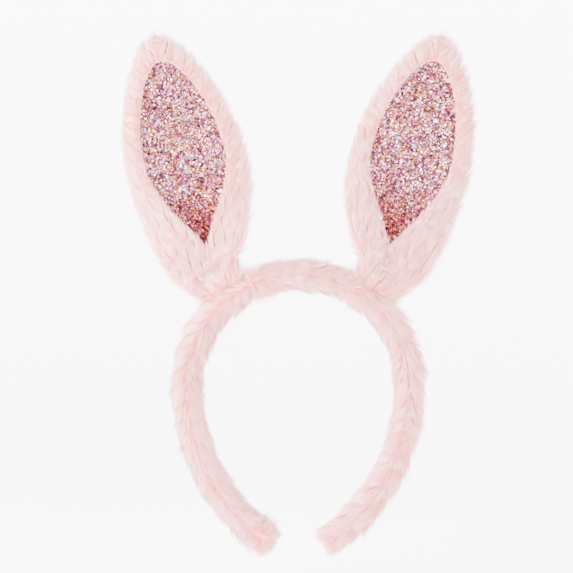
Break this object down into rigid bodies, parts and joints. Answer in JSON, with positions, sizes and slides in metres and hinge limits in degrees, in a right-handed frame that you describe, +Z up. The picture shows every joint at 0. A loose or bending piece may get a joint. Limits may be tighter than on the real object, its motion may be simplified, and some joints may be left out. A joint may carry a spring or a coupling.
{
  "type": "animal ears headband",
  "caption": "Pale pink long-pile faux fur headband with posable rabbit ears that lean outward, each with a teardrop glitter panel framed in fur",
  "frame": {"origin": "On the inner face of the crown, at the top middle of the head opening, halfway from front to back", "axes": "+Z up through the ears, front faces -Y, +X to the right when seen from the front"},
  "size_m": [0.2224, 0.0227, 0.3372],
  "materials": {
    "fur": "matte",
    "glitter_cloth": "satin",
    "backing_cloth": "matte",
    "felt": "matte",
    "thread": "satin",
    "wire": "satin",
    "spring_strip": "satin"
  },
  "bodies": {
    "crown": {"crown_strip": "spring_strip", "crown_sleeve": "fur", "crown_seam": "thread"},
    "right_leg": {"right_leg_strip": "spring_strip", "right_leg_sleeve": "fur", "right_leg_seam": "thread", "right_tip_patch": "fur", "right_tip_stitches": "thread"},
    "left_leg": {"left_leg_strip": "spring_strip", "left_leg_sleeve": "fur", "left_leg_seam": "thread", "left_tip_patch": "fur", "left_tip_stitches": "thread"},
    "right_ear_root": {"right_ear_collar": "backing_cloth", "right_ear_root_wire": "wire", "right_ear_binding": "thread"},
    "left_ear_root": {"left_ear_collar": "backing_cloth", "left_ear_root_wire": "wire", "left_ear_binding": "thread"},
    "right_ear": {"right_ear_back_fur": "fur", "right_ear_front_fur": "fur", "right_ear_glitter": "glitter_cloth", "right_ear_stiffener": "felt", "right_ear_wire_frame": "wire"},
    "left_ear": {"left_ear_back_fur": "fur", "left_ear_front_fur": "fur", "left_ear_glitter": "glitter_cloth", "left_ear_stiffener": "felt", "left_ear_wire_frame": "wire"}
  },
  "joints": [
    {"name": "right_leg_flex", "type": "hinge", "parent": "crown", "child": "right_leg", "pos_m": [0.03001, 0, 0.00285], "axis": [0, -1, 0], "range_deg": [-3, 12], "stiffness_Nm_per_rad": 3},
    {"name": "left_leg_flex", "type": "hinge", "parent": "crown", "child": "left_leg", "pos_m": [-0.03001, 0, 0.00285], "axis": [0, 1, 0], "range_deg": [-3, 12], "stiffness_Nm_per_rad": 3},
    {"name": "right_ear_splay", "type": "hinge", "parent": "right_leg", "child": "right_ear_root", "pos_m": [0.05266, 0, 0.00713], "axis": [0, 1, 0], "range_deg": [-10, 10]},
    {"name": "left_ear_splay", "type": "hinge", "parent": "left_leg", "child": "left_ear_root", "pos_m": [-0.05266, 0, 0.00713], "axis": [0, -1, 0], "range_deg": [-10, 10]},
    {"name": "right_ear_tilt", "type": "hinge", "parent": "right_ear_root", "child": "right_ear", "pos_m": [0.05266, 0, 0.00713], "axis": [0.7934, 0, -0.6088], "range_deg": [-40, 40]},
    {"name": "left_ear_tilt", "type": "hinge", "parent": "left_ear_root", "child": "left_ear", "pos_m": [-0.05266, 0, 0.00713], "axis": [0.7934, 0, 0.6088], "range_deg": [-40, 40]}
  ]
}
